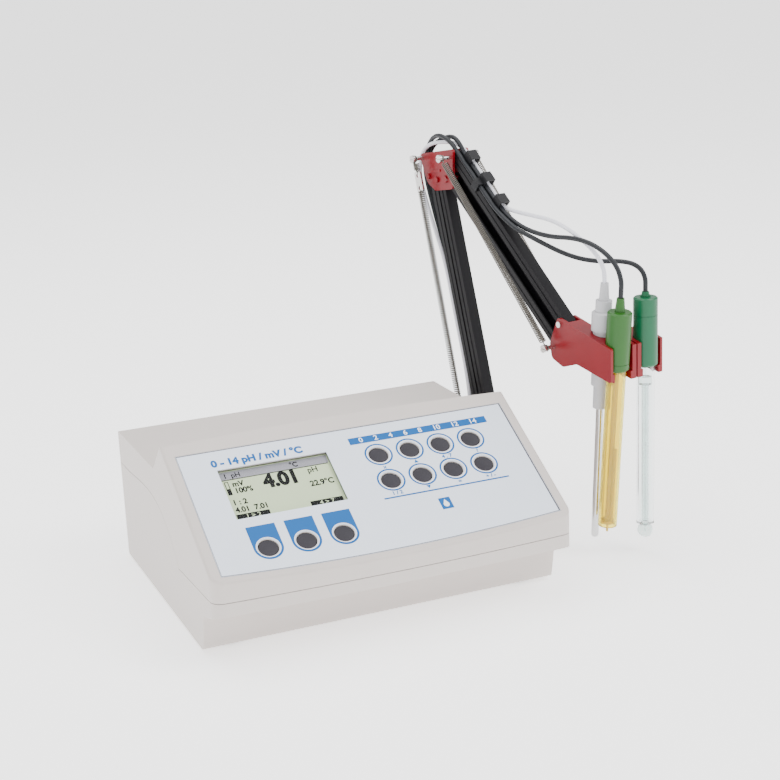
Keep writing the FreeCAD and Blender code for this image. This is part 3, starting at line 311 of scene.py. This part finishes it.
def tombstone(x, s):
    """Blue shield round a soft key: flat at the top, round at the bottom, open round the key."""
    inner = circle(x, s, SOFT_GAP, 64, math.pi / 8)
    outer = []
    for px, ps in inner:
        dx, ds = (px - x) / SOFT_GAP, (ps - s) / SOFT_GAP
        if ds <= 0:
            outer.append((x + dx * RING, s + ds * RING))
        elif SHIELD_TOP / ds * abs(dx) > RING:
            outer.append((x + math.copysign(RING, dx), s + ds * RING / abs(dx)))
        else:
            outer.append((x + dx * SHIELD_TOP / ds, s + SHIELD_TOP))
    for corner in ((x + RING, s + SHIELD_TOP), (x - RING, s + SHIELD_TOP)):
        outer[min(range(64), key=lambda i: math.dist(outer[i], corner))] = corner
    return outer, inner


def arched_edge(half, s_edge, crown, count=40):
    """Points along the panel's bowed lower edge, left to right."""
    radius = (half * half + crown * crown) / (2 * crown)
    points = []
    for i in range(count + 1):
        x = -half + 2 * half * i / count
        points.append((x, s_edge + radius - crown - math.sqrt(radius * radius - x * x)))
    return points


def panel_print():
    keys = [(KEY_FIRST_X + KEY_PITCH * i, s) for s in KEY_ROWS for i in range(4)]
    soft = [(SOFT_X + SOFT_PITCH * i, SOFT_ROW) for i in range(3)]
    blues = [(circle(x, s, RING), circle(x, s, KEY_GAP)) for x, s in keys]
    blues += [tombstone(x, s) for x, s in soft]
    blues.append(rectangle(-0.5, 95.6, 85.6, 91.2))
    blues.append(rectangle(4.5, 90.0, 37.8, 38.9))
    angles = [math.radians(-120 + 12 * i) for i in range(21)]
    drop = [(DROP_X + DROP_RADIUS * math.sin(a), DROP_S - DROP_RADIUS * math.cos(a)) for a in angles]
    blues.append(rectangle(37.4, 45.0, 22.0, 31.0))
    print_piece("emblem_drop", [drop + [(DROP_X, DROP_TIP)]], "print_white", 2 * PRINT)
    print_piece("print_blue", blues, "blue", PRINT)
    whites = [(circle(x, s, KEY_GAP), circle(x, s, KEY_EDGE)) for x, s in keys]
    whites += [(circle(x, s, SOFT_GAP), circle(x, s, KEY_EDGE)) for x, s in soft]
    print_piece("print_white", whites, "print_white", PRINT)
    half, low, high = 110.4, 4.2, 99.8
    edge = arched_edge(half, low, 4.5)
    inside = [(x, s + 0.35) for x, s in edge]
    strips = [[edge[i], edge[i + 1], inside[i + 1], inside[i]] for i in range(len(edge) - 1)]
    strips += [rectangle(-half, half, high - 0.5, high), rectangle(-half, -half + 0.25, low, high),
               rectangle(half - 0.8, half, low, high)]
    print_piece("print_border", strips, "border", PRINT)
    words("scale_title", "0 - 14 pH / mV / °C", -91.0, 89.0, 5.3, "blue", PRINT, "LEFT",
          bold=0.38)
    scale = "0     2     4     6     8     10     12     14"
    words("bar_words", scale, 47.5, 88.35, 3.9, "print_white", 2 * PRINT, bold=0.10)
    legends = (("1 / 2", None, "=", "+ / -"), ("x", None, "4 . 7", "?"))
    for row, names in zip(KEY_ROWS, legends):
        for i, legend in enumerate(names):
            if legend:
                x = KEY_FIRST_X + KEY_PITCH * i
                words(f"legend_{int(row)}_{i}", legend, x, row - 11.0, 2.8, "legend", PRINT,
                      bold=0.12)
    x = KEY_FIRST_X + KEY_PITCH
    arrows = [[(x - 1.5, 62.4), (x + 1.5, 62.4), (x, 65.0)], [(x - 1.5, 42.9), (x, 40.3), (x + 1.5, 42.9)]]
    print_piece("legend_arrows", arrows, "legend", PRINT)


panel_print()


# ---------------------------------------------------------------- display
LCD_X, LCD_S, LCD_N = (-88.8, -17.5), (43.4, 83.9), -2.86


def lcd_print():
    """What the display shows: a reading in large figures, a temperature, two soft-key labels, and a grey band
    along the top that is painted shade from the recess wall of the window.
    """
    x0, x1 = LCD_X[0] + 1.0, LCD_X[1] - 1.0
    top = LCD_S[1] - 1.0
    # The grey band along the top of the display is painted shade. It stands in for the shadow that the
    # window's recess wall casts on the glass.
    shadow_band = rectangle(x0 - 0.8, x1 + 0.8, top - 5.4, top + 0.8)
    print_piece("lcd_recess_shadow", [shadow_band], "lcd_recess_shade", LCD_N)
    inks = [rectangle(x0, x1, top - 6.1, top - 5.5), rectangle(x0 + 0.6, x0 + 21.5, 44.6, 49.2),
            rectangle(x1 - 21.5, x1 - 0.4, 44.6, 49.2), rectangle(x0 + 1.0, x0 + 3.6, 65.0, 69.6)]
    inks.append(([(x0 + 1.0, 69.6), (x0 + 3.6, 69.6), (x0 + 3.6, 75.8), (x0 + 1.0, 75.8)],
                 [(x0 + 1.5, 70.1), (x0 + 3.1, 70.1), (x0 + 3.1, 75.3), (x0 + 1.5, 75.3)]))
    print_piece("lcd_marks", inks, "lcd_ink", LCD_N + PRINT)
    lines = (("1", x0 + 2.0, top - 2.7, 3.8, "LEFT", 0.12), ("pH", x0 + 7.0, top - 2.7, 3.8, "LEFT", 0.12),
             ("°C", x0 + 45.0, top - 2.6, 3.8, "LEFT", 0.20),
             ("100%", x0 + 5.6, 67.6, 4.1, "LEFT", 0.20), ("mV", x0 + 5.6, 73.0, 4.1, "LEFT", 0.20),
             ("4.01", x0 + 36.5, 70.6, 10.4, "CENTER", 0.75), ("pH", x0 + 58.0, 73.8, 4.4, "CENTER", 0.10),
             ("22.9°C", x1 - 1.0, 62.8, 4.3, "RIGHT", 0.20), ("1 : 2", x0 + 1.4, 58.6, 4.1, "LEFT", 0.20),
             ("4.01  7.01", x0 + 1.4, 52.6, 4.1, "LEFT", 0.20))
    for i, (text, x, s, size, align, bold) in enumerate(lines):
        words(f"lcd_line_{i}", text, x, s, size, "lcd_ink", LCD_N + PRINT, align,
              bold=bold, wide=0.92)
    words("lcd_soft_left", "1 > 2", x0 + 11.0, 46.9, 3.2, "lcd", LCD_N + 2 * PRINT, bold=0.05)
    words("lcd_soft_right", "4 > 7", x1 - 11.0, 46.9, 3.2, "lcd", LCD_N + 2 * PRINT, bold=0.05)


lcd_print()


# ---------------------------------------------------------------- tubes along splines
def spline_points(name, points, resolution=8):
    """Points along the smooth NURBS line that the route's points control."""
    curve = bpy.data.curves.new(name, "CURVE")
    curve.dimensions = "3D"
    curve.resolution_u = resolution
    spline = curve.splines.new("NURBS")
    spline.points.add(len(points) - 1)
    for control, point in zip(spline.points, points):
        control.co = (*point, 1.0)
    spline.order_u = 3
    spline.use_endpoint_u = True
    holder = bpy.data.objects.new(name, curve)
    bpy.context.scene.collection.objects.link(holder)
    bpy.context.view_layer.update()
    mesh = bpy.data.meshes.new_from_object(holder.evaluated_get(bpy.context.evaluated_depsgraph_get()))
    line = [vertex.co.copy() for vertex in mesh.vertices]
    bpy.data.objects.remove(holder)
    bpy.data.meshes.remove(mesh)
    return line


def ring_frames(line):
    """A direction and two crosswise directions at every point, carried along without twist."""
    frames = []
    side = None
    for i, point in enumerate(line):
        ahead = line[min(i + 1, len(line) - 1)] - line[max(i - 1, 0)]
        ahead.normalize()
        if side is None:
            side = ahead.orthogonal().normalized()
        side = (side - ahead * side.dot(ahead)).normalized()
        frames.append((point, side, ahead.cross(side)))
    return frames


def tube_mesh(name, frames, radius, sides=14):
    """A tube of one radius along frames."""
    vertices, faces = [], []
    for point, side, other in frames:
        for i in range(sides):
            a = 2 * math.pi * i / sides
            vertices.append(point + (side * math.cos(a) + other * math.sin(a)) * radius)
    for k in range(len(frames) - 1):
        for i in range(sides):
            j = (i + 1) % sides
            faces.append((k * sides + i, k * sides + j, (k + 1) * sides + j, (k + 1) * sides + i))
    mesh = bpy.data.meshes.new(name)
    mesh.from_pydata(vertices, [], faces)
    mesh.update()
    return mesh


# ---------------------------------------------------------------- cables
BLACK_CABLE, WHITE_CABLE = 3.2, 2.8
COIL_Y, TURNS = 190.0, 2.75
UPPER_DROP, LOWER_LEAN = math.radians(40.2), math.radians(15.7)
ELBOW_TOP, ELBOW_REAR = (-28.5, 257.0), (-54.4, 241.0)
BAR_HALF = 3.75
GRIP_Z = 140.0
PROBE_AXIS = {"gel": (133.8, 3.3, 5.0), "glass": (134.3, 27.4, 0.0), "temperature": (117.2, 5.0, 3.7)}


def on_upper(along, v, height):
    up = BAR_HALF + height
    u = ELBOW_TOP[0] + along * math.cos(UPPER_DROP) + up * math.sin(UPPER_DROP)
    return u, v, ELBOW_TOP[1] - along * math.sin(UPPER_DROP) + up * math.cos(UPPER_DROP)


def on_lower(along, v, height):
    back = BAR_HALF + height
    u = ELBOW_REAR[0] + along * math.sin(LOWER_LEAN) - back * math.cos(LOWER_LEAN)
    return u, v, ELBOW_REAR[1] - along * math.cos(LOWER_LEAN) - back * math.sin(LOWER_LEAN)


def on_probe(name, height):
    u, v, tilt = PROBE_AXIS[name]
    a = math.radians(tilt)
    return u + height * math.sin(a), v, GRIP_Z + height * math.cos(a)


SPANS = {
    "gel": [(138.3, 3.3, 193.5), (134.0, 3.2, 202.3), (124.0, 3.0, 209.0), (110.0, 2.8, 213.6),
            (92.0, 2.6, 214.8), (70.0, 2.2, 212.4), (48.0, 1.8, 213.6), (31.0, 1.3, 218.3)],
    "glass": [(134.2, 27.4, 190.5), (131.6, 26.6, 196.0), (125.6, 24.8, 199.4), (115.5, 21.8, 200.0),
              (103.0, 17.4, 198.4), (90.0, 12.5, 198.6), (77.0, 7.6, 201.4), (64.0, 3.2, 206.0),
              (50.0, -0.4, 211.0), (36.0, -2.5, 215.2)],
    "temperature": [(118.8, 4.9, 199.5), (112.5, 5.2, 206.3), (101.0, 5.9, 212.0), (85.0, 6.0, 218.6),
                    (67.0, 5.6, 223.0), (48.0, 5.0, 223.6), (33.0, 4.4, 224.2)]}
LOOPS = {
    "gel": [(-26.5, 0.8, 265.6), (-32.5, 1.0, 269.6), (-40.5, 2.2, 269.8), (-50.5, 3.1, 267.2),
            (-58.6, 3.15, 263.8), (-65.2, 3.15, 258.0), (-68.8, 3.15, 249.4), (-68.6, 3.15, 239.0),
            (-63.6, 3.15, 226.0), (-57.4, 3.15, 210.0)],
    "glass": [(-31.0, -3.2, 266.4), (-39.5, -3.0, 269.8), (-48.0, -2.3, 270.4), (-56.0, -0.9, 268.2),
              (-62.4, -0.1, 263.2), (-66.9, -0.1, 255.5), (-69.0, -0.1, 246.5), (-67.3, -0.1, 236.0),
              (-62.6, -0.2, 223.5), (-56.6, -0.2, 208.5)],
    "temperature": [(-28.8, 3.4, 263.6), (-36.5, 2.4, 265.8), (-45.5, 0.2, 265.6), (-54.5, -2.0, 264.4),
                    (-61.5, -3.2, 261.4), (-67.3, -3.25, 256.0), (-71.0, -3.3, 247.0),
                    (-70.3, -3.3, 236.5), (-65.3, -3.3, 224.0), (-58.2, -3.3, 209.0)]}
BENCH = {
    "gel": [(131.2, 122.0, 1.7), (121.0, 147.0, 1.8), (101.0, 165.0, 1.7), (84.0, 172.0, 1.7)],
    "glass": [(127.6, 118.0, 1.7), (118.0, 141.0, 1.8), (97.0, 155.5, 1.7), (70.0, 159.5, 1.8),
              (48.0, 166.5, 1.7), (33.0, 171.7, 1.7)],
    "temperature": [(124.0, 115.0, 1.6), (113.5, 136.0, 1.7), (92.0, 149.0, 1.6), (60.0, 152.4, 1.7),
                    (28.0, 154.0, 1.6), (0.0, 162.0, 1.7), (-19.0, 171.3, 1.6)]}
SOCKET_X = {"gel": 88.0, "glass": 36.0, "temperature": -16.0}
LANE = {"gel": 3.15, "glass": -0.2, "temperature": -3.3}
CLIP_HEIGHT = {"gel": 2.45, "glass": 1.75, "temperature": 2.25}
CLIP_V = {"gel": 0.85, "glass": -3.2, "temperature": 3.95}


def cable_points(name, diameter):
    """The points that the whole route follows, from the probe to the plug."""
    reach = (41.5, 53.0) if name == "temperature" else (36.5, 46.0)
    held = [on_probe(name, h) for h in reach] + SPANS[name]
    height, v = CLIP_HEIGHT[name], CLIP_V[name]
    held += [on_upper(t, v, height + d) for t, d in ((56.0, 0.1), (41.0, 0.0), (21.0, 0.1), (4.0, 0.0))]
    held += LOOPS[name]
    side = LANE[name]
    held += [on_lower(t, side, 1.8 + d) for t, d in ((63.0, 0.0), (95.0, 0.4), (127.0, 0.0), (152.0, 0.7))]
    held += [(-17.5, side, 72.0), (-18.6, side, 58.0), (-20.8, side, 40.0), (-24.6, side, 22.5)]
    held += [(-33.0, side, 9.5), (-46.0, side, diameter / 2 + 2.6)]
    points = [arm_point(*p) for p in held] + [case_point(*p) for p in BENCH[name]]
    radius, x = 5.5 * diameter, SOCKET_X[name]
    corner = radius / math.cos(math.pi / 12)
    for i in range(int(TURNS * 12)):
        a = math.radians(255 - 30 * i)
        rise = diameter / 2 + 0.1 + (diameter + 0.1) * i / 12
        points.append(case_point(x - radius + corner * math.cos(a), COIL_Y + corner * math.sin(a), rise))
    top = diameter / 2 + 0.1 + (diameter + 0.1) * TURNS
    points += [case_point(x, COIL_Y - 14.0, top + 3.5), case_point(x, COIL_Y - 26.5, 23.0),
               case_point(x, COIL_Y - 38.0, 33.6), case_point(x, COIL_Y - 50.0, 36.0)]
    return points


def nearest(line, point):
    return min(range(len(line)), key=lambda i: (line[i] - point).length)


def cable(name, diameter, look):
    """One cable as tubes that meet end to end, each on the bodies that hold it."""
    line = spline_points(name + "_line", cable_points(name, diameter))
    frames = ring_frames(line)
    v = LANE[name]
    span = nearest(line, arm_point(*SPANS[name][1]))
    clip_3 = nearest(line, arm_point(*on_upper(58.0, CLIP_V[name], CLIP_HEIGHT[name])))
    clip_1 = nearest(line, arm_point(*on_upper(6.0, CLIP_V[name], CLIP_HEIGHT[name])))
    loop_top = nearest(line, arm_point(*LOOPS[name][2]))
    loop_back = nearest(line, arm_point(*LOOPS[name][6]))
    bar_top = nearest(line, arm_point(*on_lower(60.0, v, 1.8)))
    bar_low = nearest(line, arm_point(*on_lower(150.0, v, 2.4)))
    foot = nearest(line, arm_point(-18.6, v, 58.0))
    bench = nearest(line, arm_point(-46.0, v, diameter / 2 + 2.6))

    def section(part, first, last):
        mesh = tube_mesh(f"{name}_cable_{part}", frames[first:last + 1], diameter / 2 * MM)
        return new_piece(f"{name}_cable_{part}", mesh, look)

    def bridge(part, first, last):
        piece = section(part, first, last)
        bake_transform(piece)
        return piece

    bridge("pigtail", 0, span)
    hanging = bridge("span", span, clip_3)
    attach(section("clipped", clip_3, clip_1), "upper_top")
    bridge("loop_front", clip_1, loop_top)
    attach(section("loop_top", loop_top, loop_back), "elbow")
    bridge("loop_rear", loop_back, bar_top)
    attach(section("lower", bar_top, bar_low), "lower_rear")
    bridge("foot", bar_low, foot)
    bridge("turn", foot, bench)
    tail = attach(section("tail", bench, len(line) - 1), "root")
    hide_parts(name + "_cable", name + "_cable_coil")
    return {"span": (hanging, line[span:clip_3 + 1]), "tail": (tail, line[bench:])}


made = {"gel": cable("gel", BLACK_CABLE, "cable"),
        "glass": cable("glass", BLACK_CABLE, "cable"),
        "temperature": cable("temperature", WHITE_CABLE, "cable_white")}


# ---------------------------------------------------------------- springs
SPRING_SIDE, SPRING_RADIUS = 13.75, 2.0
WIRE, HOOK, EYE = 0.42, 1.6, 2.0
ELBOW_ANCHOR, FOOT_ANCHOR, HEAD_ANCHOR = (-61.2, 253.6), (-12.6, 64.0), (83.35, 141.66)


def hook_and_coil(start, end, radius, pitch, lead):
    """One wire that leaves an eye, coils along the line between the eyes and ends in the other eye."""
    way = (end - start).normalized()
    side = way.orthogonal().normalized()
    other = way.cross(side)
    length = (end - start).length
    turns = int((length / MM - 2 * lead) / pitch)
    line = [start + way * HOOK * MM]
    for i in range(turns * 12 + 1):
        a = 2 * math.pi * i / 12
        line.append(start + way * (lead + i * pitch / 12) * MM
                    + (side * math.cos(a) + other * math.sin(a)) * radius * MM)
    line.append(end - way * HOOK * MM)
    return line


def eye(name, centre, normal, body):
    """The wire loop that hangs on a screw."""
    side = normal.orthogonal().normalized()
    other = normal.cross(side)
    angles = [2 * math.pi * i / 24 for i in range(25)]
    line = [centre + (side * math.cos(a) + other * math.sin(a)) * EYE * MM for a in angles]
    mesh = tube_mesh(name, ring_frames(line), WIRE * MM, 8)
    return new_piece(name, mesh, "spring", body)


def wound(name, start, end, pitch, lead):
    line = hook_and_coil(start, end, SPRING_RADIUS, pitch, lead)
    return new_piece(name, tube_mesh("coil", ring_frames(line), WIRE * MM, 6), "spring")


def springs():
    for side, where in ((-1, "near"), (1, "far")):
        v = side * SPRING_SIDE
        top, low = arm_point(ELBOW_TOP[0], v, ELBOW_TOP[1]), arm_point(HEAD_ANCHOR[0], v, HEAD_ANCHOR[1])
        upper = wound(f"upper_spring_{where}", top, low, 1.4, 4.4)
        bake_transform(upper)
        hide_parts("upper_springs")
        eye(f"upper_eye_{where}_top", top, ACROSS, "elbow")
        eye(f"upper_eye_{where}_low", low, ACROSS, "holder")
        a, b = arm_point(ELBOW_ANCHOR[0], v, ELBOW_ANCHOR[1]), arm_point(FOOT_ANCHOR[0], v, FOOT_ANCHOR[1])
        way = (b - a).normalized()
        link_top, link_low = a + way * 0.012, a + way * 0.021
        short = wound(f"lower_spring_short_{where}", a, link_top, 1.1, 3.0)
        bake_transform(short)
        eye(f"lower_eye_{where}_top", a, ACROSS, "elbow")
        long = wound(f"lower_spring_{where}", link_low, b, 1.4, 2.6)
        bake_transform(long)
        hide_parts("lower_springs")
        eye(f"lower_eye_{where}_foot", b, ACROSS, "swivel")


springs()


# ---------------------------------------------------------------- stage, light and camera
def floor():
    size = 40.0
    mesh = bpy.data.meshes.new("floor")
    corners = [(-size, -size, 0), (size, -size, 0), (size, size, 0), (-size, size, 0)]
    mesh.from_pydata(corners, [], [(0, 1, 2, 3)])
    made = bpy.data.objects.new("floor", mesh)
    look = bpy.data.materials.new("floor_white")
    look.use_nodes = True
    shader = look.node_tree.nodes["Principled BSDF"]
    shader.inputs["Base Color"].default_value = (0.93, 0.93, 0.93, 1.0)
    shader.inputs["Roughness"].default_value = 0.9
    shader.inputs["Specular IOR Level"].default_value = 0.1
    shader.inputs["Emission Color"].default_value = (1.0, 1.0, 1.0, 1.0)
    shader.inputs["Emission Strength"].default_value = 1.2
    mesh.materials.append(look)
    bpy.context.scene.collection.objects.link(made)


def area(name, place, aim, size, power):
    light = bpy.data.lights.new(name, "AREA")
    light.shape = "RECTANGLE"
    light.size, light.size_y = size
    light.energy = power
    holder = bpy.data.objects.new(name, light)
    holder.location = place
    holder.rotation_mode = "QUATERNION"
    holder.rotation_quaternion = (Vector(aim) - Vector(place)).to_track_quat("-Z", "Y")
    bpy.context.scene.collection.objects.link(holder)


def lights():
    world = bpy.data.worlds.new("studio")
    world.use_nodes = True
    world.node_tree.nodes["Background"].inputs["Color"].default_value = (1.0, 1.0, 1.0, 1.0)
    world.node_tree.nodes["Background"].inputs["Strength"].default_value = 1.1
    bpy.context.scene.world = world
    aim = (0.0, 0.0, 0.08)
    area("key", (0.9, -0.9, 1.5), aim, (1.0, 1.0), 22.0)
    area("top", (-0.2, 0.3, 1.6), aim, (1.6, 1.6), 26.0)
    area("fill", (-1.4, -0.6, 0.7), aim, (1.2, 1.2), 6.0)


def camera():
    right = Vector((0.91872638, -0.39264921, -0.04205273))
    up = Vector((0.14693472, 0.24105643, 0.95932371))
    back = Vector((-0.36654062, -0.88753501, 0.2791587))
    data = bpy.data.cameras.new("camera")
    data.sensor_width = 36.0
    data.lens = 75.09
    data.clip_start, data.clip_end = 0.05, 20.0
    holder = bpy.data.objects.new("camera", data)
    matrix = Matrix((right, up, back)).transposed().to_4x4()
    matrix.translation = case_point(-348.21, -944.39, 418.19)
    holder.matrix_world = matrix
    bpy.context.scene.collection.objects.link(holder)
    bpy.context.scene.camera = holder


floor()
lights()
camera()
